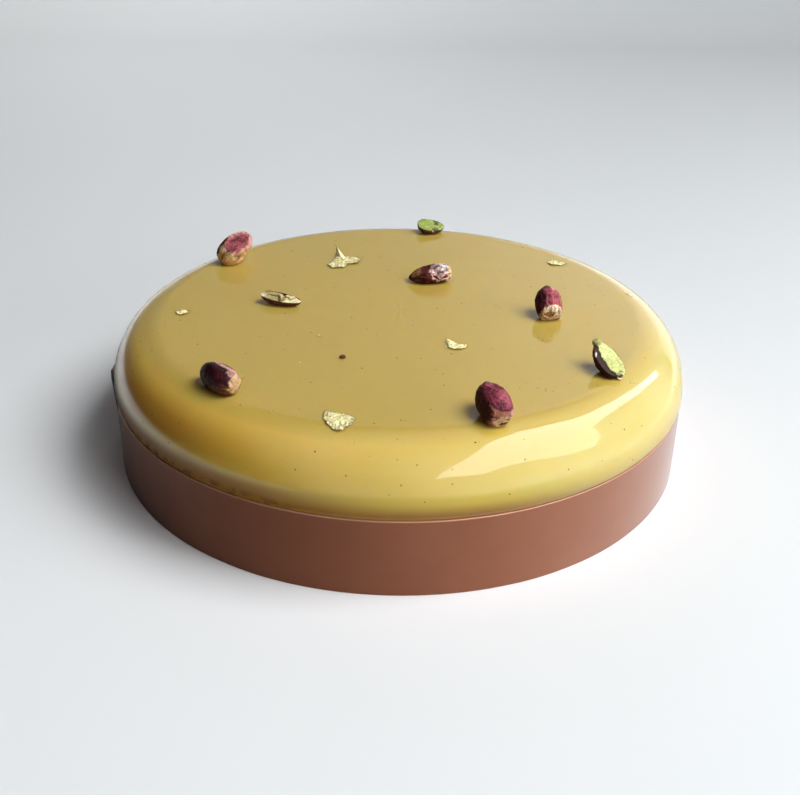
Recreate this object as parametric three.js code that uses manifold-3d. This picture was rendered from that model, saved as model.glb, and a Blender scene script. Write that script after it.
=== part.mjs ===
// A round semifreddo cake: a glazed disc with a large rounded edge, a thin chocolate band round its
// lower half, and pistachio kernels and gold leaf on top.
// Millimetres, +Z up, origin at the centre of the flat bottom; the front of the cake is -Y.
import * as THREE from "three";
import { mergeVertices } from "three/addons/utils/BufferGeometryUtils.js";
import Module from "manifold-3d";

// The cake under its glaze
const CAKE_RADIUS = 90;
const CAKE_HEIGHT = 43;
const TOP_RADIUS = 74;
const WIDEST_HEIGHT = 25.6;
const CORE_RADIUS = 88;
const LIP_RADIUS = 89.3;
const LIP_HEIGHT = 23.9;
const LIP_ROUNDING = 0.7;
const CAKE_SEGMENTS = 96;
const EDGE_STEPS = 13;

// The chocolate band, a strip wound once round with its end lapped outside
const BAND_HEIGHT = 23.6;
const BAND_THICKNESS = 1.3;
const BAND_RADIUS = 89.05;
const BAND_LAP_RADIUS = 90.7;
const BAND_START = 168;
const BAND_RISE_START = 489;
const BAND_RISE_END = 516;
const BAND_END = 543;
const BAND_STEP = 3;
const BAND_CHAMFER = 0.2;

// The toppings
const GAP = 0.3;
const KERNEL_RINGS = 15;
const KERNEL_SEGMENTS = 20;
const KERNEL_TAPER = 0.12;
const LEAF_THICKNESS = 0.3;
const LEAF_WAVE = 0.22;
const LEAF_RINGS = 4;
const LEAF_EDGE_PARTS = 2;

const wasm = await Module();
wasm.setup();

const glaze = new THREE.MeshStandardMaterial({ color: 0xc9aa66, roughness: 0.12, metalness: 0 });
const chocolate = new THREE.MeshStandardMaterial({ color: 0x6b4230, roughness: 0.45, metalness: 0 });
const gold = new THREE.MeshStandardMaterial({ color: 0xe6d49a, roughness: 0.35, metalness: 1 });

// Kernel skins and cut faces, dark maroon to pink and pale green
function nut(color) {
  return new THREE.MeshStandardMaterial({ color, roughness: 0.7, metalness: 0 });
}

// Height of the glazed surface at a distance from the axis: flat, then an elliptical rounded edge
function surfaceHeight(radius) {
  const out = THREE.MathUtils.clamp((radius - TOP_RADIUS) / (CAKE_RADIUS - TOP_RADIUS), 0, 1);
  return WIDEST_HEIGHT + (CAKE_HEIGHT - WIDEST_HEIGHT) * Math.sqrt(1 - out * out);
}

// The uncut cake as one body of revolution; the glaze's lip overhangs the band's top rim
function makeCake() {
  const profile = [
    new THREE.Vector2(0, 0),
    new THREE.Vector2(CORE_RADIUS, 0),
    new THREE.Vector2(CORE_RADIUS, LIP_HEIGHT),
    new THREE.Vector2(LIP_RADIUS, LIP_HEIGHT),
    new THREE.Vector2(CAKE_RADIUS - 0.2, LIP_HEIGHT + LIP_ROUNDING),
  ];
  for (let i = 0; i <= EDGE_STEPS; i++) {
    const angle = (i / EDGE_STEPS) * (Math.PI / 2);
    const radius = TOP_RADIUS + (CAKE_RADIUS - TOP_RADIUS) * Math.cos(angle);
    const height = WIDEST_HEIGHT + (CAKE_HEIGHT - WIDEST_HEIGHT) * Math.sin(angle);
    profile.push(new THREE.Vector2(radius, height));
  }
  profile.push(new THREE.Vector2(0, CAKE_HEIGHT));
  const geometry = new THREE.LatheGeometry(profile, CAKE_SEGMENTS);
  geometry.rotateX(Math.PI / 2);
  return new THREE.Mesh(geometry, glaze);
}

// Middle radius of the band's strip at an azimuth along its winding, in degrees
function bandRadius(azimuth) {
  const lap = THREE.MathUtils.smoothstep(azimuth, BAND_RISE_START, BAND_RISE_END);
  return THREE.MathUtils.lerp(BAND_RADIUS, BAND_LAP_RADIUS, lap);
}

// The band: the plan of the wound strip, extruded upwards with a small chamfer on its rims
function makeBand() {
  const outer = [];
  const inner = [];
  for (let azimuth = BAND_START; azimuth <= BAND_END; azimuth += BAND_STEP) {
    const angle = THREE.MathUtils.degToRad(azimuth);
    const radius = bandRadius(azimuth);
    const direction = new THREE.Vector2(Math.cos(angle), Math.sin(angle));
    outer.push(direction.clone().multiplyScalar(radius + BAND_THICKNESS / 2));
    inner.push(direction.clone().multiplyScalar(radius - BAND_THICKNESS / 2));
  }
  const plan = new THREE.Shape([...outer, ...inner.reverse()]);
  const geometry = new THREE.ExtrudeGeometry(plan, {
    depth: BAND_HEIGHT - 2 * BAND_CHAMFER,
    bevelThickness: BAND_CHAMFER,
    bevelSize: BAND_CHAMFER,
    bevelOffset: -BAND_CHAMFER,
    bevelSegments: 1,
    steps: 1,
  });
  geometry.translate(0, 0, BAND_CHAMFER);
  return new THREE.Mesh(geometry, chocolate);
}

// A closed surface from a grid of rings between two poles
function ringedGeometry(rings, first, last) {
  const count = rings[0].length;
  const points = [first, ...rings.flat(), last];
  const faces = [];
  for (let i = 0; i < count; i++) {
    const next = (i + 1) % count;
    faces.push(0, 1 + i, 1 + next);
    for (let ring = 0; ring < rings.length - 1; ring++) {
      const a = 1 + ring * count;
      const b = a + count;
      faces.push(a + i, b + i, b + next, a + i, b + next, a + next);
    }
    const end = 1 + (rings.length - 1) * count;
    faces.push(points.length - 1, end + next, end + i);
  }
  const geometry = new THREE.BufferGeometry().setFromPoints(points);
  geometry.setIndex(faces);
  return geometry;
}

// A pistachio kernel along X: blunt at -X, pointed at +X. keel raises a suture ridge along the top;
// a half kernel is flat where it was cut; a crack is a notch across it; a facet is a flat worn side.
function kernelGeometry(kernel) {
  const { length, width, thickness, sharp, keel = 0, half = false, crack = null, facet = null } = kernel;
  const rings = [];
  for (let i = 1; i <= KERNEL_RINGS; i++) {
    const along = Math.cos((i / (KERNEL_RINGS + 1)) * Math.PI);
    const round = Math.sqrt(1 - along * along);
    const girth = Math.pow(round, 0.9 + sharp * along) * (1 - KERNEL_TAPER * along);
    const ring = [];
    for (let j = 0; j < KERNEL_SEGMENTS; j++) {
      const turn = (j / KERNEL_SEGMENTS) * 2 * Math.PI;
      const fromTop = Math.min(turn, 2 * Math.PI - turn) / 0.35;
      const swell = girth * (1 + keel * Math.exp(-fromTop * fromTop));
      const point = new THREE.Vector3(
        (length / 2) * along,
        (-width / 2) * swell * Math.sin(turn),
        (thickness / 2) * swell * Math.cos(turn),
      );
      if (half) {
        point.z = Math.min(point.z, 0);
      }
      if (crack && Math.cos(turn) > 0) {
        const across = (point.x - crack.x) / crack.width;
        point.z -= crack.depth * round * Math.exp(-across * across) * Math.cos(turn);
      }
      if (facet) {
        const proud = Math.max(0, point.dot(facet.normal) - facet.distance);
        point.addScaledVector(facet.normal, -proud);
      }
      ring.push(point);
    }
    rings.push(ring);
  }
  const head = new THREE.Vector3(length / 2, 0, 0);
  const tail = new THREE.Vector3(-length / 2, 0, 0);
  return ringedGeometry(rings, head, tail);
}

// Rests a turned piece on the glaze, sunk a little, with its underside shaped to the surface below
function rest(mesh, kernel) {
  mesh.rotation.set(
    THREE.MathUtils.degToRad(kernel.roll),
    THREE.MathUtils.degToRad(-kernel.tilt),
    THREE.MathUtils.degToRad(kernel.heading),
    "ZYX",
  );
  const position = mesh.geometry.getAttribute("position");
  const point = new THREE.Vector3();
  let lowest = Infinity;
  for (let i = 0; i < position.count; i++) {
    point.fromBufferAttribute(position, i).applyEuler(mesh.rotation);
    lowest = Math.min(lowest, point.z);
  }
  const ground = surfaceHeight(Math.hypot(kernel.x, kernel.y));
  mesh.position.set(kernel.x, kernel.y, ground - kernel.sink - lowest);
  mesh.updateMatrix();
  const back = mesh.matrix.clone().invert();
  for (let i = 0; i < position.count; i++) {
    point.fromBufferAttribute(position, i).applyMatrix4(mesh.matrix);
    point.z = Math.max(point.z, surfaceHeight(Math.hypot(point.x, point.y)) + GAP);
    point.applyMatrix4(back);
    position.setXYZ(i, point.x, point.y, point.z);
  }
}

function makeKernel(kernel, color) {
  const mesh = new THREE.Mesh(kernelGeometry(kernel), nut(color));
  rest(mesh, kernel);
  return mesh;
}

function solidOf(geometry) {
  const bare = new THREE.BufferGeometry();
  bare.setAttribute("position", geometry.getAttribute("position"));
  bare.setIndex(geometry.index);
  const merged = mergeVertices(bare, 1e-4);
  return new wasm.Manifold(
    new wasm.Mesh({
      numProp: 3,
      vertProperties: merged.getAttribute("position").array,
      triVerts: new Uint32Array(merged.index.array),
    }),
  );
}

function joined(geometryA, geometryB) {
  const mesh = solidOf(geometryA).add(solidOf(geometryB)).getMesh();
  const geometry = new THREE.BufferGeometry();
  geometry.setAttribute("position", new THREE.BufferAttribute(mesh.vertProperties, 3));
  geometry.setIndex(new THREE.BufferAttribute(mesh.triVerts, 1));
  return geometry;
}

// A half kernel with the round stub of its stalk end left at the tip
function makeStubbedHalf(kernel, color, stubRadius) {
  const stub = new THREE.SphereGeometry(stubRadius, 12, 8);
  stub.translate(kernel.length / 2 - stubRadius * 0.4, 0, -stubRadius * 0.3);
  const mesh = new THREE.Mesh(joined(kernelGeometry(kernel), stub), nut(color));
  rest(mesh, kernel);
  return mesh;
}

// A crumpled flake of leaf lying on the glaze. Each corner is [x, y, lift] from the flake's middle;
// rings run out from the middle to the torn outline, and both faces share one pattern of triangles.
function makeLeaf(leaf) {
  const outline = [];
  leaf.corners.forEach((corner, i) => {
    const next = leaf.corners[(i + 1) % leaf.corners.length];
    for (let part = 0; part < LEAF_EDGE_PARTS; part++) {
      const from = new THREE.Vector3(...corner);
      outline.push(from.lerp(new THREE.Vector3(...next), part / LEAF_EDGE_PARTS));
    }
  });
  const count = outline.length;
  const rise = (x, y, lift) => {
    const wave = LEAF_WAVE * (1 + Math.sin(x * leaf.wave + y) * Math.cos(y * leaf.wave - x * 0.6));
    return surfaceHeight(Math.hypot(leaf.x + x, leaf.y + y)) + GAP + wave + lift;
  };
  const middle = new THREE.Vector3(0, 0, rise(0, 0, 0));
  const lower = [middle];
  for (let ring = 1; ring <= LEAF_RINGS; ring++) {
    const out = ring / LEAF_RINGS;
    for (const edge of outline) {
      const x = edge.x * out;
      const y = edge.y * out;
      lower.push(new THREE.Vector3(x, y, rise(x, y, edge.z * out * out)));
    }
  }
  const upper = lower.map((p) => new THREE.Vector3(p.x, p.y, p.z + LEAF_THICKNESS));
  const top = lower.length;
  const faces = [];
  for (let i = 0; i < count; i++) {
    const next = (i + 1) % count;
    faces.push(0, 1 + next, 1 + i, top, top + 1 + i, top + 1 + next);
    for (let ring = 0; ring < LEAF_RINGS - 1; ring++) {
      const a = 1 + ring * count;
      const b = a + count;
      faces.push(a + i, a + next, b + next, a + i, b + next, b + i);
      faces.push(top + a + i, top + b + next, top + a + next, top + a + i, top + b + i, top + b + next);
    }
    const rim = 1 + (LEAF_RINGS - 1) * count;
    faces.push(rim + i, rim + next, top + rim + next, rim + i, top + rim + next, top + rim + i);
  }
  const geometry = new THREE.BufferGeometry().setFromPoints([...lower, ...upper]);
  geometry.setIndex(faces);
  const mesh = new THREE.Mesh(geometry, gold);
  mesh.position.set(leaf.x, leaf.y, 0);
  return mesh;
}

const cake = new THREE.Group();
const toppings = new THREE.Group();
cake.add(toppings);

function place(parent, name, mesh) {
  mesh.name = name;
  parent.add(mesh);
}

place(cake, "glazed_cake", makeCake());
place(cake, "chocolate_band", makeBand());

// Whole kernels; x and y are the kernel's middle, heading is the compass turn of its pointed end
const backLeft = {
  x: -56.6, y: 41.6, sink: 0.9, length: 14.4, width: 9.5, thickness: 9.1, sharp: 0.22,
  heading: 45, tilt: 27, roll: -12, keel: 0.05,
  facet: { normal: new THREE.Vector3(0.3, -0.5, 0.81).normalize(), distance: 3.6 },
};
place(toppings, "pistachio_back_left", makeKernel(backLeft, 0xb8606c));

const backCentre = {
  x: 10.2, y: 24.6, sink: 0.7, length: 14.5, width: 7.9, thickness: 6.5, sharp: 0.37,
  heading: 187, tilt: -3.5, roll: 3, keel: 0.06,
};
place(toppings, "pistachio_back_centre", makeKernel(backCentre, 0x7c3a3c));

const right = {
  x: 46.6, y: -2.9, sink: 0.9, length: 11.2, width: 8.7, thickness: 7.8, sharp: 0.46,
  heading: 96, tilt: 42, roll: 13, keel: 0.06,
};
place(toppings, "pistachio_right", makeKernel(right, 0xa75c66));

const frontLeft = {
  x: -50, y: -53.5, sink: 0.8, length: 14.7, width: 7.9, thickness: 7.8, sharp: 0.4,
  heading: 133, tilt: -0.5, roll: -22, keel: 0.1,
};
place(toppings, "pistachio_front_left", makeKernel(frontLeft, 0x5a2a30));

const front = {
  x: 24.1, y: -68.4, sink: 0.9, length: 13.8, width: 9.1, thickness: 9.3, sharp: 0.27,
  heading: 107, tilt: 11.5, roll: 6, keel: 0.04,
  facet: { normal: new THREE.Vector3(0.35, -0.1, 0.93).normalize(), distance: 4.1 },
};
place(toppings, "pistachio_front", makeKernel(front, 0x95506a));

// Halved kernels, cut face up
const halfRight = {
  x: 58.9, y: -41.7, sink: 1, length: 12.3, width: 8.4, thickness: 8.2, sharp: 0.2,
  heading: 121, tilt: 30, roll: 7, half: true,
};
place(toppings, "pistachio_half_right", makeStubbedHalf(halfRight, 0xc9c97a, 1.05));

const halfBack = {
  x: 12.2, y: 73, sink: 0.4, length: 10, width: 8.2, thickness: 6.3, sharp: 0.28,
  heading: 13, tilt: -7, roll: 12, half: true,
};
place(toppings, "pistachio_half_back", makeKernel(halfBack, 0xa9b565));

const sliver = {
  x: -37.7, y: 3.9, sink: 0.3, length: 13.4, width: 5.4, thickness: 5.6, sharp: 0.2,
  heading: -16, tilt: -6, roll: 8, half: true,
  crack: { x: 0.2, width: 0.7, depth: 0.8 },
};
place(toppings, "pistachio_sliver", makeKernel(sliver, 0xb9a570));

// Flakes of gold leaf; the back and centre ones have a spike standing up
const leafBack = {
  x: -18.9, y: 42.4, wave: 0.9,
  corners: [
    [5.8, 2.1, 0], [4.3, 3, 0.2], [1.1, 3.5, 0], [-0.8, 5, 0.1], [-3.2, 6, 3.2], [-3.3, 4.6, 0.1],
    [-4.3, -0.6, 0], [-5.8, -4.6, 0.4], [-4.3, -7.3, 0], [-1.5, -7.2, 0.3], [0.6, -6, 0], [0.9, -3.4, 0.2],
    [4.6, -3.2, 0.5],
  ],
};
place(toppings, "gold_leaf_back", makeLeaf(leafBack));

const leafFront = {
  x: -16.2, y: -71.5, wave: 0.8,
  corners: [
    [4.3, 1, 0.2], [1.9, 2.9, 0], [-1.3, 4.2, 0.1], [-4.3, 4.3, 0.2], [-4.2, 1.4, 0], [-2.6, -1.1, 0.1],
    [-0.9, -4.5, 0], [0.4, -5.3, 0.4], [3.6, -2.6, 0.1],
  ],
};
place(toppings, "gold_leaf_front", makeLeaf(leafFront));

const leafCentre = {
  x: 16.9, y: -25.4, wave: 1.1,
  corners: [
    [3.3, -0.3, 0.4], [0.7, 0, 0], [-0.5, 1.6, 0.1], [-3.2, 2.6, 1], [-2.9, 1.5, 0.1], [-2.6, -1.9, 0.2],
    [-1, -3.1, 0], [0.4, -3.3, 0.3], [2.7, -1.8, 0],
  ],
};
place(toppings, "gold_leaf_centre", makeLeaf(leafCentre));

const leafRight = {
  x: 55.4, y: 42.4, wave: 1.2,
  corners: [
    [3.4, -0.5, 0.2], [0.4, 1.7, 0], [-1.8, 2.1, 0.1], [-3.4, 0.2, 0.1], [-2.6, -2.2, 0.2], [1.1, -2.3, 0],
  ],
};
place(toppings, "gold_leaf_right", makeLeaf(leafRight));

const leafLeft = {
  x: -68, y: -4, wave: 1.4,
  corners: [
    [2.3, 0.1, 0.3], [2.3, 1.5, 0.1], [-0.4, 1.5, 0.4], [-2.5, 0.7, 0.3], [-1.3, -1, 0], [0.8, -1.5, 0.3],
  ],
};
place(toppings, "gold_leaf_left", makeLeaf(leafLeft));

export default cake;
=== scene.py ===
"""A round glazed semifreddo cake with a chocolate band, pistachio kernels and gold leaf.

The sections follow the cake as it is made: camera and stage, glazed cake, chocolate band,
kernels, gold leaf with its specks, and the crumb. Lengths are named in millimetres.
"""

import math

import bpy
import numpy as np
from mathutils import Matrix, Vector


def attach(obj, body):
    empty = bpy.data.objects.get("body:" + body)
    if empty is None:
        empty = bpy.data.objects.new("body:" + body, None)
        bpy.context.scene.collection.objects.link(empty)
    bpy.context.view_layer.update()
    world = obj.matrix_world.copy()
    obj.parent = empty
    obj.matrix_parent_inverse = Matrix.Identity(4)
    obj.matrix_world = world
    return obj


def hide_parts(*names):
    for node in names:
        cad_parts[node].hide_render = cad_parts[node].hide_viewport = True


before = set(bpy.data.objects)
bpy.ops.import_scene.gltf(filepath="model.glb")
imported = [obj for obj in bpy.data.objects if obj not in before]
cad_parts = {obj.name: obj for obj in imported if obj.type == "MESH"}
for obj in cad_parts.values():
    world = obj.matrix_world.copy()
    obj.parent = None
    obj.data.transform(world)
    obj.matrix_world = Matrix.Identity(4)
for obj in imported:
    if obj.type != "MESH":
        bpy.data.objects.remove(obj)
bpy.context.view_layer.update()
scene = bpy.context.scene

# ---------------------------------------------------------------------------------------------
# Camera: looks down on the cake's front at about 28 degrees, from a third of a metre away, as a
# person does who photographs it on a table.
MM = 0.001
LENS_MM = 51.08
CAMERA_AT_MM = (-3.78, -330.5, 188.2)
CAMERA_TURN_DEG = (61.906, -0.739, -0.354)

camera = bpy.data.objects.new("camera", bpy.data.cameras.new("camera"))
camera.data.lens = LENS_MM
camera.data.sensor_width = 36.0
camera.data.clip_start = 0.01
camera.location = Vector(CAMERA_AT_MM) * MM
camera.rotation_euler = [math.radians(turn) for turn in CAMERA_TURN_DEG]
scene.collection.objects.link(camera)
scene.camera = camera
scene.view_settings.view_transform = "Standard"


# ---------------------------------------------------------------------------------------------
# Stage: a plain pale table that runs back and curves up into a wall, in one sheet of matt card.
# Soft light comes from a window in front and to the right; the left of the room is dim.
FLOOR_SIZE_MM = 1800
FLOOR_LEFT_MM = 1300
WALL_AT_MM = 900
WALL_HEIGHT_MM = 800
WALL_RIGHT_END_MM = 850
COVE_RADIUS_MM = 250
TABLE_RIGHT = (0.735, 0.755, 0.77, 1)
TABLE_LEFT = (0.975, 0.985, 0.995, 1)
WALL_RIGHT = (1.0, 1.0, 1.0, 1)
WALL_LEFT = (0.66, 0.675, 0.69, 1)
CARD_BOUNCE = 0.40


class Shade:
    """One value of a finish. Sums and products of values add Math nodes; node() adds any other."""

    def __init__(self, tree, socket=None):
        self.tree = tree
        self.socket = socket

    def node(self, kind, settings=(), inputs=(), output=0):
        """Adds a node of a type, makes its settings, then sets or links its sockets."""
        made = self.tree.nodes.new(kind)
        for name, value in dict(settings).items():
            if name == "stops":
                for stop, (place, colour) in zip(_stops(made, len(value)), value):
                    stop.position, stop.color = place, colour
            else:
                setattr(made, name, value)
        for name, value in dict(inputs).items():
            if isinstance(value, Shade):
                self.tree.links.new(value.socket, made.inputs[name])
            else:
                made.inputs[name].default_value = value
        return Shade(self.tree, made.outputs[output])

    def math(self, operation, first, second=0.0):
        return self.node("ShaderNodeMath", {"operation": operation}, {0: first, 1: second})

    def __add__(self, other):
        return self.math("ADD", self, other)

    def __sub__(self, other):
        return self.math("SUBTRACT", self, other)

    def __rsub__(self, other):
        return self.math("SUBTRACT", other, self)

    def __mul__(self, other):
        return self.math("MULTIPLY", self, other)

    __radd__ = __add__
    __rmul__ = __mul__

    def step(self, low, high):
        """0 below low, 1 above high, and a smooth rise between."""
        return self.node(
            "ShaderNodeMapRange",
            {"interpolation_type": "SMOOTHSTEP"},
            {"Value": self, "From Min": low, "From Max": high},
        )

    def tint(self, base, other):
        """The base colour, turning to the other as this value goes from 0 to 1."""
        return self.node(
            "ShaderNodeMix", {"data_type": "RGBA"}, {0: self, 6: base, 7: other}, output=2
        )

    def bump(self, reach, strength=1.0):
        """A surface normal that follows this height, whose full range is reach in metres."""
        return self.node("ShaderNodeBump", {}, {"Strength": strength, "Distance": reach, "Height": self})

    def noise(self, scale, detail=2.0, roughness=0.5, stretch=None):
        """Cloudy noise over these coordinates, scale cells to the metre, stretched along an axis."""
        where = self
        if stretch:
            where = self.node("ShaderNodeMapping", {}, {"Vector": self, "Scale": stretch})
        return self.node(
            "ShaderNodeTexNoise",
            {},
            {"Vector": where, "Scale": scale, "Detail": detail, "Roughness": roughness},
        )


def _stops(ramp, count):
    """The ramp's stops, made up to count."""
    elements = ramp.color_ramp.elements
    while len(elements) < count:
        elements.new(1.0)
    return elements


def finish(name, **constants):
    """A material: its principled shader with constants set by socket name, and its coordinates."""
    material = bpy.data.materials.new(name)
    material.use_nodes = True
    shader = material.node_tree.nodes["Principled BSDF"]
    for socket, value in constants.items():
        shader.inputs[socket.replace("_", " ")].default_value = value
    place = Shade(material.node_tree).node("ShaderNodeTexCoord", {}, {}, output=3)
    return material, place


def dress(material, **links):
    """Feeds the principled shader's sockets from values, by socket name."""
    shader = material.node_tree.nodes["Principled BSDF"]
    for socket, value in links.items():
        material.node_tree.links.new(value.socket, shader.inputs[socket.replace("_", " ")])


def sheet_faces(rows, columns, wrap):
    """Quads between neighbouring points of a grid, going round again at the last column if wrap."""
    row, column = np.mgrid[0 : rows - 1, 0 : columns if wrap else columns - 1]
    start = row * columns
    beside = (column + 1) % columns
    return np.stack(
        [start + column, start + beside, start + columns + beside, start + columns + column], -1
    ).reshape(-1, 4)


def make_piece(name, points, faces, material, smooth=True):
    """A mesh object from points in metres and lists of faces, at the origin, with one finish."""
    mesh = bpy.data.meshes.new(name)
    mesh.from_pydata(points.tolist(), [], faces)
    mesh.polygons.foreach_set("use_smooth", np.full(len(mesh.polygons), smooth))
    mesh.materials.append(material)
    mesh.update()
    piece = bpy.data.objects.new(name, mesh)
    scene.collection.objects.link(piece)
    return piece


def card_profile():
    """Floor forward of the cake, a quarter circle up, and the wall, as (y, z) in millimetres."""
    turn = np.linspace(0, np.pi / 2, 24)
    front = np.array([[-FLOOR_SIZE_MM / 2, 0.0]])
    cove = np.stack(
        [
            WALL_AT_MM - COVE_RADIUS_MM + COVE_RADIUS_MM * np.sin(turn),
            COVE_RADIUS_MM - COVE_RADIUS_MM * np.cos(turn),
        ],
        -1,
    )
    top = np.array([[WALL_AT_MM, WALL_HEIGHT_MM]])
    return np.concatenate([front, cove, top])


# The wall stops short at the right, where the room's daylight comes in behind the cake. The table
# gives back less light than it shows. The card glows though it is no lamp, as painted light: in the
# glaze's mirror the table is dark close to the cake's left, a painted shadow, and bright in strips
# further out at the left and to the right, a painted reflection which lights the glaze's left edge;
# to the camera the wall glows a little towards the back.
card = card_profile()
across = np.array([-FLOOR_LEFT_MM, WALL_RIGHT_END_MM, FLOOR_SIZE_MM / 2])
card_points = np.stack(
    [
        np.broadcast_to(across, (len(card), 3)),
        np.broadcast_to(card[:, :1], (len(card), 3)),
        np.broadcast_to(card[:, 1:], (len(card), 3)),
    ],
    -1,
).reshape(-1, 3)
card_faces = sheet_faces(len(card), 3, False)
card_faces = card_faces[(card_faces[:, 0] < 2) | (card_faces[:, 0] % 3 == 0)]
card_finish, at = finish(
    "white_card", Roughness=0.9, Specular_IOR_Level=0.1, Emission_Strength=1.5
)
rightward = at.node("ShaderNodeSeparateXYZ", {}, {"Vector": at})
backward = at.node("ShaderNodeSeparateXYZ", {}, {"Vector": at}, output=1)
upward = at.node("ShaderNodeSeparateXYZ", {}, {"Vector": at}, output=2).step(0.03, 0.25)
# The card's colour is painted light as well: the table is painted paler at the left and darker at the right,
# and the wall darker at the left.
table = rightward.step(-0.25, 0.20).tint(TABLE_LEFT, TABLE_RIGHT)
shown = upward.tint(table, rightward.step(-0.75, 0.25).tint(WALL_LEFT, WALL_RIGHT))
to_camera = at.node("ShaderNodeLightPath", {}, {}, output=0)
to_diffuse = at.node("ShaderNodeLightPath", {}, {}, output=2)
to_mirror = at.node("ShaderNodeLightPath", {}, {}, output=3)
outward = at.node("ShaderNodeVectorMath", {"operation": "LENGTH"}, {0: at}, output=1)
by_the_foot = (1 - outward.step(0.11, 0.17)) * (1 - rightward.step(-0.07, 0.07))
mirrored_foot_shadow = to_mirror * by_the_foot * 0.85
glow = to_mirror * upward * rightward.step(-0.05, 0.45) * 0.7
glow = glow + to_mirror * (1 - upward) * rightward.step(0.12, 0.40) * 1.8
beside_left = rightward.step(-0.50, -0.30) * (1 - rightward.step(-0.19, -0.13))
glow = glow + to_mirror * (1 - upward) * beside_left * 0.40
glow = glow + to_camera * backward.step(0.1, 0.75) * (1 - rightward.step(-0.5, 0.45) * 0.5) * 0.16
dress(
    card_finish,
    Base_Color=(to_diffuse * (1 - CARD_BOUNCE) + mirrored_foot_shadow).tint(shown, (0, 0, 0, 1)),
    Emission_Color=glow.tint((0, 0, 0, 1), (0.97, 0.99, 1, 1)),
)
card_sheet = make_piece("table_and_wall", card_points * MM, card_faces.tolist(), card_finish)

# The window as the glaze mirrors it: an opening in an upright plane across its heading. A point
# is (slope to the left of the heading, slope upwards) as seen from the cake.
WINDOW_HEADING_DEG = -15
WINDOW_AWAY_MM = 800
WINDOW_BRIGHTNESS = 9.2
WINDOW_OPENING = [
    (-1.78, 1.02), (-1.48, 0.99), (-1.21, 0.84), (-0.95, 0.71), (-0.65, 0.76), (-0.45, 0.66),
    (-0.25, 0.44), (-0.01, 0.31), (0.10, 0.44), (0.28, 0.80), (0.47, 0.89), (0.72, 0.84),
    (1.03, 0.61), (1.22, 0.46), (1.39, 0.62), (1.31, 0.83), (1.00, 1.40), (0.91, 1.60),
    (1.17, 3.09), (0.37, 2.98), (-0.06, 2.67), (-0.76, 2.01), (-1.21, 1.62), (-1.51, 1.41),
]


def glowing(name, colour, strength):
    """A finish that gives light."""
    material = bpy.data.materials.new(name)
    material.use_nodes = True
    tree = material.node_tree
    tree.nodes.clear()
    glow = Shade(tree).node("ShaderNodeEmission", {}, {"Color": colour, "Strength": strength})
    end = tree.nodes.new("ShaderNodeOutputMaterial")
    tree.links.new(glow.socket, end.inputs["Surface"])
    return material


heading = math.radians(WINDOW_HEADING_DEG)
out = np.array([math.cos(heading), math.sin(heading), 0.0])
side = np.array([-out[1], out[0], 0.0])
opening = np.array(WINDOW_OPENING)
window_points = WINDOW_AWAY_MM * (
    out + opening[:, :1] * side + opening[:, 1:] * np.array([0.0, 0.0, 1.0])
)
window = make_piece(
    "window",
    window_points * MM,
    [list(range(len(opening)))],
    glowing("daylight", (0.97, 0.98, 1.0, 1), WINDOW_BRIGHTNESS),
    smooth=False,
)
window.visible_camera = False
window.visible_diffuse = False
window.visible_shadow = False


def soft_light(name, heading, rise, away, width, height, brightness, colour, glossy=False):
    """A flat rectangle of light that faces the cake; its power gives it that brightness."""
    h, r = math.radians(heading), math.radians(rise)
    toward = Vector((math.cos(r) * math.cos(h), math.cos(r) * math.sin(h), math.sin(r)))
    light = bpy.data.objects.new(name, bpy.data.lights.new(name, "AREA"))
    light.data.shape = "RECTANGLE"
    light.data.size, light.data.size_y = width * MM, height * MM
    light.data.energy = brightness * math.pi * width * height * MM * MM
    light.data.color = colour
    light.location = toward * away * MM
    light.rotation_euler = toward.to_track_quat("Z", "Y").to_euler()
    light.visible_camera = False
    light.visible_glossy = glossy
    scene.collection.objects.link(light)
    return light


DAYLIGHT = (0.97, 0.99, 1.0)
soft_light("window_high", -15, 56, 850, 480, 480, 7.9, DAYLIGHT)
soft_light("window_side", -45, 56, 850, 480, 480, 2.5, DAYLIGHT)
soft_light("window_low", -45, 14, 850, 480, 400, 3.8, DAYLIGHT)
soft_light("window_low_right", -15, 14, 850, 480, 400, 2.7, DAYLIGHT)
soft_light("room_back", 105, 35, 850, 380, 380, 0.9, DAYLIGHT)

# The room: dim to the left, brighter overhead and round the window. The glaze mirrors it; as a
# light of its own it is weak, and behind the stage it is a pale plain grey.
ROOM_CENTRE = (0.663, -0.557, 0.5)
SILL_CENTRE = (0.985, 0.0, 0.17)
world = bpy.data.worlds.new("room")
world.use_nodes = True
tree = world.node_tree
room = Shade(tree).node("ShaderNodeTexCoord", {}, {}, output=0)
dot = {"operation": "DOT_PRODUCT"}
toward = room.node("ShaderNodeVectorMath", dot, {0: room, 1: ROOM_CENTRE}, output=1)
beside = room.node("ShaderNodeVectorMath", dot, {0: room, 1: SILL_CENTRE}, output=1)
mirrored = toward.step(-0.15, 0.45) * 1.7 + toward.step(0.55, 1.0) * 2.2
mirrored = mirrored + beside.step(0.6, 0.95) * 1.2 + 0.03
seen_by_camera = room.node("ShaderNodeLightPath", {}, {}, output=0)
seen_by_glaze = room.node("ShaderNodeLightPath", {}, {}, output=3)
strength = seen_by_camera * 0.72 + seen_by_glaze * mirrored + 0.015
background = tree.nodes["Background"]
background.inputs["Color"].default_value = (0.94, 0.97, 1.0, 1)
tree.links.new(strength.socket, background.inputs["Strength"])
scene.world = world


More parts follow.
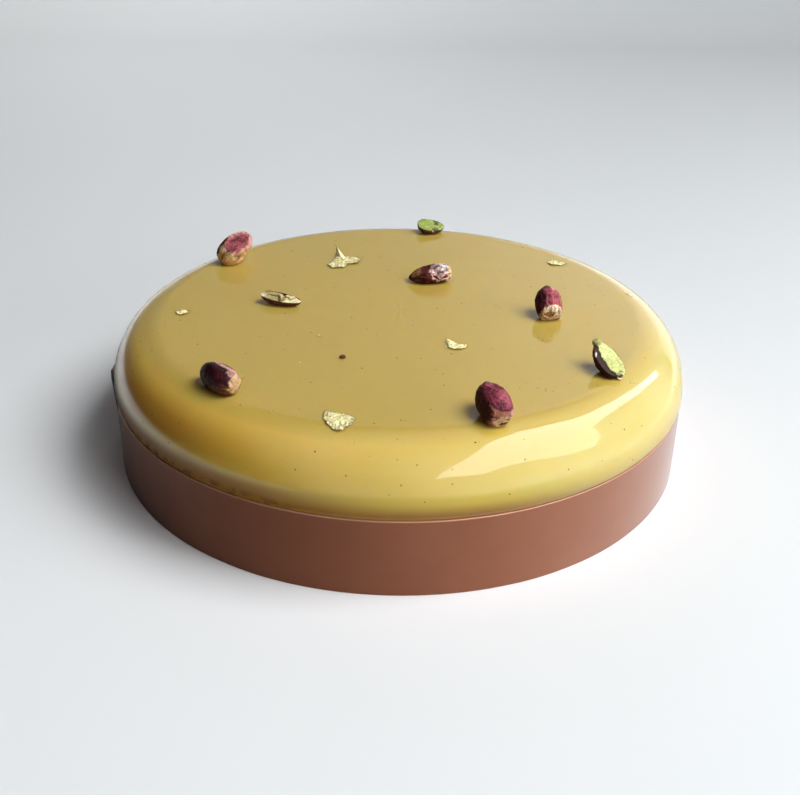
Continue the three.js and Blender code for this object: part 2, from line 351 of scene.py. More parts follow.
# ---------------------------------------------------------------------------------------------
# The cake: a chilled disc with its edge rounded in the mould, coated in one pour of pale caramel
# mirror glaze with ground vanilla in it. The glaze ends on the band's top rim.
CAKE_RADIUS = 90.0
CAKE_HEIGHT = 43.0
TOP_RADIUS = 74.0
WIDEST_HEIGHT = 25.6
CORE_RADIUS = 88.0
LIP_RADIUS = 89.3
LIP_HEIGHT = 23.56
CAKE_AROUND = 720
# The colour by height is partly the glaze's own, deeper where it pools at the lip, and partly painted light:
# the shoulder is painted brighter than the flat top, and a strip just above the lip dark as shade.
GLAZE_BY_HEIGHT_MM = [
    (23.9, (0.640, 0.310, 0.085, 1)), (25.2, (0.420, 0.200, 0.030, 1)),
    (26.5, (0.500, 0.300, 0.040, 1)), (28.5, (0.665, 0.475, 0.066, 1)),
    (31.0, (0.735, 0.540, 0.092, 1)), (34.0, (0.695, 0.495, 0.064, 1)),
    (37.5, (0.670, 0.480, 0.066, 1)), (41.0, (0.680, 0.485, 0.084, 1)),
    (42.9, (0.560, 0.390, 0.084, 1)),
]
SHADED_AMBER = (0.670, 0.325, 0.044, 1)
SHADED_AMBER_LIP = (0.430, 0.190, 0.014, 1)
PALE_LIP_REFLECTION = (0.700, 0.560, 0.190, 1)
LIP_SHADOW_DASHES = (0.150, 0.062, 0.010, 1)
LEFT_SHADE_TINT = (1.15, 1.05, 1.06)
RIGHT_LIGHT_TINT = (0.84, 0.94, 1.28)
VANILLA = (0.085, 0.038, 0.010, 1)
SPECK_CELLS = 1000.0


def surface_height(radius):
    """Height of the glaze at a radius, in mm: flat, then a quarter of an ellipse down the edge."""
    out = np.clip((radius - TOP_RADIUS) / (CAKE_RADIUS - TOP_RADIUS), 0, 1)
    return WIDEST_HEIGHT + (CAKE_HEIGHT - WIDEST_HEIGHT) * np.sqrt(1 - out * out)


def random_field(x, y, seed, wrap=64):
    """Smooth random heights from -1 to 1: a seeded lattice of heights, eased between corners. The
    lattice repeats after wrap cells in y."""
    table = np.random.default_rng(seed).random((64, wrap)) * 2 - 1
    column, row = np.floor(x).astype(int), np.floor(y).astype(int)
    u, v = x - column, y - row
    u, v = u * u * (3 - 2 * u), v * v * (3 - 2 * v)
    low = table[column % 64, row % wrap] * (1 - u) + table[(column + 1) % 64, row % wrap] * u
    up = table[column % 64, (row + 1) % wrap] * (1 - u) + table[(column + 1) % 64, (row + 1) % wrap] * u
    return low * (1 - v) + up * v


def cake_profile():
    """(radius, height) from the middle of the underside round to the middle of the top, in mm."""
    underside = np.linspace(0, CORE_RADIUS - 0.6, 8)
    wall = [
        (CORE_RADIUS - 0.3, 0.05),
        (CORE_RADIUS, 0.4),
        (CORE_RADIUS, 12.0),
        (CORE_RADIUS, LIP_HEIGHT - 0.35),
        (CORE_RADIUS + 0.2, LIP_HEIGHT),
        (LIP_RADIUS - 0.25, LIP_HEIGHT),
        (LIP_RADIUS, LIP_HEIGHT + 0.12),
        (LIP_RADIUS + 0.3, LIP_HEIGHT + 0.55),
        (LIP_RADIUS + 0.55, LIP_HEIGHT + 1.15),
    ]
    turn = np.linspace(0, np.pi / 2, 52)
    edge = np.stack(
        [
            TOP_RADIUS + (CAKE_RADIUS - TOP_RADIUS) * np.cos(turn),
            WIDEST_HEIGHT + (CAKE_HEIGHT - WIDEST_HEIGHT) * np.sin(turn),
        ],
        -1,
    )
    top = np.linspace(TOP_RADIUS, 0, 40)[1:]
    return np.concatenate(
        [
            np.stack([underside[1:], 0 * underside[1:]], -1),
            np.array(wall),
            edge,
            np.stack([top[:-1], 0 * top[:-1] + CAKE_HEIGHT], -1),
        ]
    )


def poured_cake():
    """The profile turned round the axis. The pour leaves slow swells under a tenth of a
    millimetre, and a lower edge that wanders by about a tenth."""
    profile = cake_profile()
    radius = profile[:, :1]
    height = profile[:, 1:]
    angle = np.linspace(0, 2 * np.pi, CAKE_AROUND, endpoint=False)[None]
    cycle = angle / (2 * np.pi)
    low = np.exp(-((height - LIP_HEIGHT - 0.3) ** 2) / 0.5) * (radius > CORE_RADIUS + 0.5)
    wander = random_field(0 * radius + cycle * 0, cycle * 46, 5, 46) * 0.12
    side = np.clip((height - LIP_HEIGHT) / 6, 0, 1)
    swell = random_field(radius / 17 + height / 9, cycle * 24, 8, 24) * 0.05 * side
    ring = radius + swell * np.clip((radius - 60) / 20, 0, 1)
    level = height + low * np.maximum(wander, 0) + swell * (height > LIP_HEIGHT + 3)
    points = np.stack([ring * np.cos(angle), ring * np.sin(angle), level + 0 * angle], -1)
    rows = len(profile)
    points = np.concatenate([points.reshape(-1, 3), [[0, 0, 0]], [[0, 0, CAKE_HEIGHT]]])
    around = np.arange(CAKE_AROUND)
    beside = (around + 1) % CAKE_AROUND
    under = np.stack([beside, around, np.full(CAKE_AROUND, rows * CAKE_AROUND)], -1)
    last = (rows - 1) * CAKE_AROUND
    over = np.stack([last + around, last + beside, np.full(CAKE_AROUND, rows * CAKE_AROUND + 1)], -1)
    faces = sheet_faces(rows, CAKE_AROUND, True).tolist() + under.tolist() + over.tolist()
    return points * MM, faces


glaze, at = finish(
    "caramel_glaze",
    Roughness=0.05,
    IOR=1.45,
    Subsurface_Weight=0.5,
    Subsurface_Radius=(1.0, 0.42, 0.10),
    Subsurface_Scale=0.006,
)
height = at.node("ShaderNodeSeparateXYZ", {}, {"Vector": at}, output=2)
low, high = GLAZE_BY_HEIGHT_MM[0][0], GLAZE_BY_HEIGHT_MM[-1][0]
share = height.node(
    "ShaderNodeMapRange", {}, {"Value": height, "From Min": low * MM, "From Max": high * MM}
)
colour = share.node(
    "ShaderNodeValToRGB",
    {"stops": [((level - low) / (high - low), tone) for level, tone in GLAZE_BY_HEIGHT_MM]},
    {"Fac": share},
)
# Painted light on the pour: its left is darker and more amber as painted shade, with a deeper amber
# lip, and its right is paler and bluer as painted light and reflection.
leftward = 0.0 - at.node("ShaderNodeSeparateXYZ", {}, {"Vector": at})
below_top = 1 - height.step(0.0405, 0.0428)
for reach, scale in [
    (leftward.step(-0.010, 0.045) * height.step(0.028, 0.032), LEFT_SHADE_TINT),
    ((0.0 - leftward).step(0.0, 0.060), RIGHT_LIGHT_TINT),
]:
    changed = colour.node("ShaderNodeVectorMath", {"operation": "MULTIPLY"}, {0: colour, 1: scale})
    colour = (reach * below_top).tint(colour, changed)
left_shade = leftward.step(0.030, 0.070) * height.step(0.0305, 0.034) * (1 - height.step(0.036, 0.0410))
colour = left_shade.tint(colour, SHADED_AMBER)
left_shade = leftward.step(-0.005, 0.050) * (1 - height.step(0.0275, 0.0315))
colour = left_shade.tint(colour, SHADED_AMBER_LIP)
# Dark dashes of painted shadow along the left lip.
lip_shadow_dashes = at.noise(380.0, 2.0).step(0.50, 0.60) * leftward.step(0.010, 0.055)
lip_shadow_dashes = lip_shadow_dashes * (1 - height.step(0.0250, 0.0272))
colour = (lip_shadow_dashes * 0.7).tint(colour, LIP_SHADOW_DASHES)
# The pale right lip is a painted reflection.
pale = (0.0 - leftward).step(0.020, 0.065) * (1 - height.step(0.029, 0.034))
colour = (pale * 0.75).tint(colour, PALE_LIP_REFLECTION)
cells = at.node("ShaderNodeTexVoronoi", {}, {"Vector": at, "Scale": SPECK_CELLS})
chosen = at.node("ShaderNodeTexVoronoi", {}, {"Vector": at, "Scale": SPECK_CELLS}, output=1)
draw = at.node("ShaderNodeSeparateColor", {}, {"Color": chosen}, output=0)
size = at.node("ShaderNodeSeparateColor", {}, {"Color": chosen}, output=1)
reach = size * size * 0.16 + 0.13
speck = (reach - cells).step(-0.03, 0.05) * draw.step(0.955, 0.965)
colour = (speck * (size * 0.5 + 0.45)).tint(colour, VANILLA)
ripple = at.noise(55.0, 1.0) + at.noise(210.0, 1.0) * 0.12 + at.noise(800.0, 1.0) * 0.014
dress(glaze, Base_Color=colour, Normal=ripple.bump(0.00035, 0.5))

cake_points, cake_faces = poured_cake()
cake = make_piece("poured_cake", cake_points, cake_faces, glaze)
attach(cake, "root")
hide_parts("glazed_cake")


# ---------------------------------------------------------------------------------------------
# The band: tempered chocolate spread thin on acetate, set, and wound once round the cake. The end
# laps outside the start at the left. It is satin where it lay on the acetate.
BAND_HEIGHT = 23.6
BAND_THICKNESS = 1.3
BAND_RADIUS = 89.05
BAND_LAP_RADIUS = 90.7
BAND_START_DEG = 168
BAND_RISE_DEG = (489, 516)
BAND_END_DEG = 543
BAND_FLARE_MM = 1.7
CHOCOLATE = (0.305, 0.090, 0.034, 1)
CHOCOLATE_WORN = (0.345, 0.110, 0.046, 1)
PAINTED_SHEEN = (0.400, 0.200, 0.125, 1)
RIM_HIGHLIGHT = (0.66, 0.32, 0.15, 1)
CUT_END_SHADE = (0.010, 0.005, 0.004, 1)


def band_section():
    """Cross-section of the strip, (outwards, up) in mm, anticlockwise, with small round rims."""
    half = BAND_THICKNESS / 2
    turn = np.linspace(0, np.pi / 2, 5)
    rim = 0.35
    top_out = np.stack([half - rim + rim * np.cos(turn), BAND_HEIGHT - rim + rim * np.sin(turn)], -1)
    top_in = np.stack([-half + rim - rim * np.sin(turn), BAND_HEIGHT - rim + rim * np.cos(turn)], -1)
    low_in = np.stack([-half + 0.2 - 0.2 * np.cos(turn), 0.2 - 0.2 * np.sin(turn)], -1)
    low_out = np.stack([half - 0.2 + 0.2 * np.sin(turn), 0.2 - 0.2 * np.cos(turn)], -1)
    rise = np.linspace(0.5, BAND_HEIGHT - 0.7, 14)
    outside = np.stack([0 * rise + half, rise], -1)
    inside = np.stack([0 * rise - half, rise[::-1]], -1)
    return np.concatenate([low_out, outside, top_out, top_in, inside, low_in])


def wound_band():
    """The section carried along a spiral: a circle that steps out by one thickness for the lap,
    whose upper part springs away over its last 22 degrees, as the square of the way along them. The
    top rim wanders by a tenth of a millimetre, and the strip swells a little along its way."""
    section = band_section()
    angle = np.radians(np.arange(BAND_START_DEG, BAND_END_DEG + 0.01, 0.6))[:, None]
    way = np.clip((np.degrees(angle) - BAND_RISE_DEG[0]) / (BAND_RISE_DEG[1] - BAND_RISE_DEG[0]), 0, 1)
    way = way * way * (3 - 2 * way)
    middle = BAND_RADIUS + (BAND_LAP_RADIUS - BAND_RADIUS) * way
    out, up = section[None, :, 0], section[None, :, 1]
    share = up / BAND_HEIGHT
    swell = random_field(angle * 7 + 0 * up, up / 9 + 0 * angle, 21) * 0.045
    rim = random_field(angle * 11 + 0 * up, 0 * up + 3.5 + 0 * angle, 22) * 0.10 * share**8
    tip = np.clip((np.degrees(angle) - BAND_END_DEG + 22) / 22, 0, 1)
    radius = middle + out + swell + BAND_FLARE_MM * tip * tip * share**1.3 * (1 - 0.4 * share**8)
    points = np.stack([radius * np.cos(angle), radius * np.sin(angle), up + rim + 0 * angle], -1)
    rows, columns = points.shape[:2]
    faces = sheet_faces(rows, columns, True)[:, ::-1].tolist()
    faces.append(list(range(columns)))
    faces.append(list(range((rows - 1) * columns, rows * columns))[::-1])
    return points.reshape(-1, 3) * MM, faces


chocolate, at = finish("satin_chocolate", IOR=1.5, Sheen_Weight=0.5, Sheen_Roughness=0.35)
streak = at.noise(60.0, 3.0, 0.6, (1, 1, 5))
grain = at.noise(900.0, 2.0)
worn = at.noise(26.0, 4.0, 0.65)
height = at.node("ShaderNodeSeparateXYZ", {}, {"Vector": at}, output=2)
rim = height.step(0.0231, 0.0235)
colour = worn.step(0.35, 0.75).tint(CHOCOLATE, CHOCOLATE_WORN)
# A pale painted sheen at the right, a thin painted highlight along the rim, and the lap's cut end painted
# dark as shade.
to_right = at.node("ShaderNodeSeparateXYZ", {}, {"Vector": at})
colour = (to_right.step(0.010, 0.085) * 0.40).tint(colour, PAINTED_SHEEN)
# The rim's light line is a painted highlight, left out at the right.
rim = rim * (1 - to_right.step(0.0, 0.055) * 0.85)
colour = (rim * 0.75).tint(colour, RIM_HIGHLIGHT)
outside = at.node("ShaderNodeVectorMath", {"operation": "MULTIPLY"}, {0: at, 1: (1, 1, 0)})
outside = outside.node("ShaderNodeVectorMath", {"operation": "LENGTH"}, {0: outside}, output=1)
to_back = at.node("ShaderNodeSeparateXYZ", {}, {"Vector": at}, output=1)
# The cut end of the lap is painted near black: painted shade.
cut_end_shade = outside.step(0.09142, 0.09155) * (1 - to_back.step(-0.00475, -0.00455))
colour = cut_end_shade.tint(colour, CUT_END_SHADE)
dress(
    chocolate,
    Base_Color=colour,
    Roughness=streak * 0.10 + 0.14,
    Normal=(streak * 0.8 + grain * 0.2).bump(0.00012, 0.35),
)
band_points, band_faces = wound_band()
band = make_piece("wound_band", band_points, band_faces, chocolate)
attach(band, "root")
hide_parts("chocolate_band")


# ---------------------------------------------------------------------------------------------
# The kernels: shelled pistachios in their dry, finely creased skins, pressed a little into the
# glaze. Skins run from near black through maroon and pink to cream at the stalk end; where the
# skin is rubbed off or a nut is halved, it is pink, green or bone.
KERNEL_ALONG = 130
KERNEL_AROUND = 168
KERNEL_TAPER = 0.12
RIGHTWARD = np.array([1.0, -0.006, 0.013])
UPWARD = np.array([-0.008, 0.471, 0.882])
NEARER = np.array([-0.012, -0.882, 0.471])
BLACK = (0.018, 0.008, 0.006)
MAROON = (0.030, 0.004, 0.006)
OXBLOOD = (0.075, 0.013, 0.011)
BROWN = (0.085, 0.030, 0.014)
TAN = (0.240, 0.110, 0.042)
PINK = (0.310, 0.072, 0.084)
MAGENTA = (0.310, 0.062, 0.085)
PURPLE = (0.180, 0.030, 0.050)
ROSE = (0.330, 0.130, 0.090)
PALE_PINK = (0.540, 0.280, 0.260)
LILAC = (0.600, 0.420, 0.400)
CREAM = (0.620, 0.400, 0.220)
STRAW = (0.440, 0.270, 0.110)
GREEN = (0.560, 0.600, 0.210)
MOSS = (0.360, 0.430, 0.110)
DARK_GREEN = (0.110, 0.130, 0.030)


def turn_matrix(heading, tilt, roll):
    """Rolls about X, then lifts the +X end by tilt, then turns it to the heading, in degrees."""
    h, t, r = np.radians([heading, tilt, roll])
    about_x = np.array([[1, 0, 0], [0, np.cos(r), -np.sin(r)], [0, np.sin(r), np.cos(r)]])
    about_y = np.array([[np.cos(t), 0, -np.sin(t)], [0, 1, 0], [np.sin(t), 0, np.cos(t)]])
    about_z = np.array([[np.cos(h), -np.sin(h), 0], [np.sin(h), np.cos(h), 0], [0, 0, 1]])
    return about_z @ about_y @ about_x


def kernel_grid(nut):
    """Rings along X: an egg, blunt at -X and pointed at +X, with a suture ridge on top. Returns
    the points, the place along (-1 to 1), the turn round from the top, and the ring's roundness."""
    place = np.cos(np.linspace(0, np.pi, KERNEL_ALONG + 2)[1:-1])[:, None]
    turn = np.linspace(0, 2 * np.pi, KERNEL_AROUND, endpoint=False)[None]
    round_ = np.sqrt(1 - place * place)
    bow = 0.9 + np.where(place > 0, nut["sharp"], nut.get("blunt", nut["sharp"])) * place
    girth = round_**bow * (1 - KERNEL_TAPER * place)
    from_top = np.minimum(turn, 2 * np.pi - turn) / 0.35
    swell = girth * (1 + nut.get("keel", 0) * np.exp(-from_top * from_top))
    points = np.stack(
        [
            nut["length"] / 2 * place + 0 * turn,
            -nut["width"] / 2 * swell * np.sin(turn),
            nut["thickness"] / 2 * swell * np.cos(turn),
        ],
        -1,
    )
    return points, place + 0 * turn, turn + 0 * place, round_ + 0 * turn


def skin_nets(nut, place, turn):
    """Two nets of ridges that run lengthwise, coarse and fine, each near 1 on its ridges, then
    shallow dents and small pits from -1 to 1."""
    cycle = turn / (2 * np.pi)
    seed = nut["seed"]
    coarse = 1 - np.abs(random_field(place * 2.6 + 9, cycle * 17, seed, 17))
    fine = 1 - np.abs(random_field(place * 9 + 3, cycle * 44, seed + 1, 44))
    dents = random_field(place * 2.5 + 5, cycle * 5, seed + 2, 5)
    pits = random_field(place * 22 + 2, cycle * 64, seed + 3, 64)
    return coarse, fine, dents, pits


def face_cover(nut, points, place, turn):
    """Where a halved nut's face is bare: across the cut, from the -Y edge to a ragged +Y edge.
    Beyond it a strip of skin is left. Both edges are shares of the half width."""
    if not nut.get("half"):
        return np.zeros(place.shape, bool), np.zeros(place.shape, bool)
    cut = np.cos(turn) > 0.02
    width = np.abs(points[..., 1]).max(1, keepdims=True) + 1e-6
    share = points[..., 1] / width
    jag = random_field(place * 3.5 + 13, 0 * turn + 2.5, nut["seed"] + 7) * 0.7
    jag = jag + random_field(place * 11 + 29, 0 * turn + 4.5, nut["seed"] + 8) * 0.3
    below, above = nut["bare"]
    return cut, cut & (share < above + nut["ragged"] * jag) & (share > -below + nut["ragged"] * 0.3 * jag)


def kernel_shape(nut, points, place, turn, round_, nets, cut, bare):
    """The same cuts as the solid's: the halving plane, the notch and the worn side, whose middle
    is dished and whose rim stands up. Then the creases, and a ring scar at the stalk end."""
    coarse, fine, dents, pits = nets
    proud = np.zeros(place.shape)
    if nut.get("half"):
        points[..., 2] = np.minimum(points[..., 2], 0)
    if "crack" in nut:
        x, wide, deep = nut["crack"]
        notch = deep * round_ * np.exp(-(((points[..., 0] - x) / wide) ** 2)) * np.cos(turn)
        points[..., 2] -= np.maximum(notch, 0)
    if "facet" in nut:
        normal = np.array(nut["facet"][:3])
        normal = normal / np.linalg.norm(normal)
        proud = np.maximum(points @ normal - nut["facet"][3], 0)
        rim = np.exp(-(((proud - 0.10) / 0.09) ** 2)) * 0.16
        dish = np.clip((proud - 0.2) / 0.5, 0, 1) * 0.22
        points = points - (proud + dish - rim)[..., None] * normal
    depth = nut.get("depth", 1.0)
    relief = depth * (0.20 * (coarse - 0.75) + 0.13 * (fine - 0.7)) + 0.16 * dents + 0.05 * pits
    scar = np.exp(-(((place + 0.93) / 0.025) ** 2)) * 0.22 - np.exp(-(((place + 0.985) / 0.02) ** 2)) * 0.3
    relief = (relief + scar * nut.get("scar", 0)) * np.clip(round_ * 2.4, 0, 1)
    face_relief = random_field(place * 6 + 17, points[..., 1] * 0.9 + 31, nut["seed"] + 9)
    face_relief = 0.10 * face_relief + 0.04 * pits
    relief = np.where(cut, np.where(bare, face_relief, -0.30 + 0.10 * fine), relief)
    sizes = np.array([nut["length"], nut["width"], nut["thickness"]]) / 2
    outward = points / sizes**2
    outward = outward / np.linalg.norm(outward, axis=-1, keepdims=True)
    outward = np.where(cut[..., None], np.array([0, 0, 1.0]), outward)
    return points + outward * relief[..., None], outward, proud


def kernel_colours(nut, seen, facing, place, nets, cut, bare):
    """The skin's two ground colours in blotches, then each mark laid over them. A mark is an
    ellipse as the camera sees the kernel: its middle and half sizes in mm to the right and up, its
    turn in degrees, a colour, how softly it ends and how ragged it is. Ridges are paler and the
    creases between them darker, partly the skin's own veining and partly painted shade."""
    coarse, fine, dents, pits = nets
    right, up = seen
    seed = nut["seed"]
    rough = random_field(right * 1.2 + 20, up * 1.2 + 20, seed + 4) * 0.6
    rough = rough + random_field(right * 3.1 + 20, up * 3.1 + 20, seed + 5) * 0.4
    blotch = np.clip(dents * 1.6 + rough * 0.6 + 0.1, 0, 1)[..., None]
    colour = np.array(nut["ground"]) * (1 - blotch) + np.array(nut.get("blotch", nut["ground"])) * blotch
    if nut.get("half"):
        low, high, split = nut["face"]
        amount = np.clip((place + 0.25 * rough - split) / 0.12, 0, 1)[..., None]
        flesh = np.array(low) * (1 - amount) + np.array(high) * amount
        flesh = flesh * (1 + 0.12 * rough + 0.08 * pits)[..., None]
        colour = np.where(bare[..., None], flesh, colour)
    for across, rise, wide, tall, turned, over, soft, ragged in nut["marks"]:
        a = np.radians(turned)
        along = ((right - across) * np.cos(a) + (up - rise) * np.sin(a)) / wide
        beside = ((up - rise) * np.cos(a) - (right - across) * np.sin(a)) / tall
        reach = np.sqrt(along * along + beside * beside) + ragged * rough
        amount = np.clip((1 + soft / 2 - reach) / soft, 0, 1) * facing
        colour = colour * (1 - amount[..., None]) + np.array(over) * amount[..., None]
    contrast = np.where(cut & bare, 0.25, nut.get("contrast", 1.0))
    tone = 1 + contrast * (1.2 * (coarse - 0.72) + 1.0 * (fine - 0.68) + 0.3 * pits)
    return np.clip(colour * np.maximum(tone, 0.25)[..., None], 0.002, 1)


def blob(centre, radius, seed):
    """A small lumpy ball: 24 rings of 36 points and its two poles, with its faces."""
    rise = np.linspace(-np.pi / 2, np.pi / 2, 26)[1:-1, None]
    turn = np.linspace(0, 2 * np.pi, 36, endpoint=False)[None]
    lump = 1 + 0.10 * random_field(rise * 2 + 8, turn / (2 * np.pi) * 7, seed, 7)
    ball = np.stack([np.cos(rise) * np.cos(turn), np.cos(rise) * np.sin(turn), np.sin(rise) + 0 * turn], -1)
    points = np.concatenate([(ball * lump[..., None]).reshape(-1, 3), [[0, 0, -1], [0, 0, 1]]])
    around = np.arange(36)
    beside = (around + 1) % 36
    last = 23 * 36
    low = np.stack([beside, around, 0 * around + 864], -1)
    high = np.stack([last + around, last + beside, 0 * around + 865], -1)
    return centre + radius * points, sheet_faces(24, 36, True).tolist() + low.tolist() + high.tolist()


def curled_skin(centre, radius, tube, facing_deg):
    """A scrap of skin curled into most of a ring: a tube, thin at its ends, along 300 degrees of a
    circle that stands upright and faces facing_deg."""
    way = np.linspace(0, 1, 40)[:, None]
    bend = np.radians(200 + 300 * way)
    turn = np.linspace(0, 2 * np.pi, 14, endpoint=False)[None]
    thick = tube * (0.45 + 0.55 * np.sin(np.pi * way) ** 0.6)
    ring = radius * (1 - 0.25 * way) + thick * np.cos(turn)
    aside, up, off = ring * np.cos(bend), ring * np.sin(bend), 1.5 * thick * np.sin(turn)
    f = np.radians(facing_deg)
    points = np.stack(
        [-aside * np.sin(f) + off * np.cos(f), aside * np.cos(f) + off * np.sin(f), up + 0 * off], -1
    )
    ends = [list(range(14))[::-1], list(range(39 * 14, 40 * 14))]
    return centre + points.reshape(-1, 3), sheet_faces(40, 14, True).tolist() + ends


def make_kernel(name, nut, material):
    """Builds, turns and rests one kernel; its underside follows the glaze, just inside it. Scraps
    that hang on it are part of its mesh."""
    points, place, turn, round_ = kernel_grid(nut)
    matrix = turn_matrix(nut["heading"], nut["tilt"], nut["roll"])
    tips = np.array([[nut["length"] / 2, 0, 0], [-nut["length"] / 2, 0, 0]])
    plain = np.where(nut.get("half", False), np.minimum(points @ [0, 0, 1.0], 0), points @ [0, 0, 1.0])
    lowest = (np.concatenate([points[..., :2], plain[..., None]], -1) @ matrix.T)[..., 2].min()
    ground = surface_height(np.hypot(nut["x"], nut["y"]))
    centre = np.array([nut["x"], nut["y"], ground - nut["sink"] - min(lowest, (tips @ matrix.T)[:, 2].min())])
    nets = skin_nets(nut, place, turn)
    cut, bare = face_cover(nut, points, place, turn)
    points, outward, proud = kernel_shape(nut, points, place, turn, round_, nets, cut, bare)
    points = points @ matrix.T
    facing = np.clip((outward @ matrix.T) @ NEARER * 5 + 1, 0, 1)
    seen = (points @ RIGHTWARD, points @ UPWARD)
    colour = kernel_colours(nut, seen, facing, place, nets, cut, bare)
    rubbed = np.clip(proud / 0.12, 0, 1)[..., None] * nut.get("worn", 0)
    speckle = random_field(seen[0] * 5 + 40, seen[1] * 5 + 40, nut["seed"] + 11)[..., None]
    colour = np.clip(colour * (1 + rubbed * (0.12 + 0.42 * speckle)), 0.002, 1)
    points = np.concatenate([(points + centre).reshape(-1, 3), tips @ matrix.T + centre])
    floor = surface_height(np.hypot(points[:, 0], points[:, 1])) - 0.12
    points[:, 2] = np.maximum(points[:, 2], floor)
    faces = sheet_faces(KERNEL_ALONG, KERNEL_AROUND, True)[:, ::-1].tolist()
    around = np.arange(KERNEL_AROUND)
    beside = (around + 1) % KERNEL_AROUND
    count = KERNEL_ALONG * KERNEL_AROUND
    last = count - KERNEL_AROUND
    faces += np.stack([around, beside, np.full_like(around, count)], -1).tolist()
    faces += np.stack([last + beside, last + around, np.full_like(around, count + 1)], -1).tolist()
    rgb = np.concatenate([colour.reshape(-1, 3), [colour[0].mean(0), colour[-1].mean(0)]])
    for kind, place_at, sizes, tone in nut.get("scraps", []):
        at = matrix @ np.array(place_at) + centre
        more, more_faces = kind(at, *sizes)
        faces += (np.array(len(points)) + [face for face in more_faces if len(face) == 4]).tolist()
        faces += [[len(points) + corner for corner in face] for face in more_faces if len(face) != 4]
        points = np.concatenate([points, more])
        rgb = np.concatenate([rgb, np.broadcast_to(np.array(tone), (len(more), 3))])
    piece = make_piece(name, points * MM, faces, material)
    paint = piece.data.attributes.new("skin_colour", "FLOAT_COLOR", "POINT")
    gloss = np.full((len(rgb), 1), nut.get("gloss", 0.0))
    paint.data.foreach_set("color", np.concatenate([rgb, gloss], 1).ravel())
    return piece


skin, at = finish("pistachio_skin", IOR=1.45, Specular_IOR_Level=0.10)
painted = at.node("ShaderNodeAttribute", {"attribute_name": "skin_colour"}, {})
gloss = at.node("ShaderNodeAttribute", {"attribute_name": "skin_colour"}, {}, output=3)
mottle = at.noise(1300.0, 3.0, 0.7)
grain = at.noise(2600.0, 2.0)
lit = painted.node(
    "ShaderNodeMix",
    {"data_type": "RGBA", "blend_type": "MULTIPLY"},
    {0: 1.0, 6: painted, 7: mottle.step(0.25, 0.75).tint((0.70, 0.68, 0.68, 1), (1.22, 1.2, 1.2, 1))},
    output=2,
)
dress(
    skin,
    Base_Color=lit,
    Roughness=mottle * 0.25 + 0.42 - gloss * 0.30,
    Normal=(mottle * 0.7 + grain * 0.3).bump(0.00025, 0.6),
)

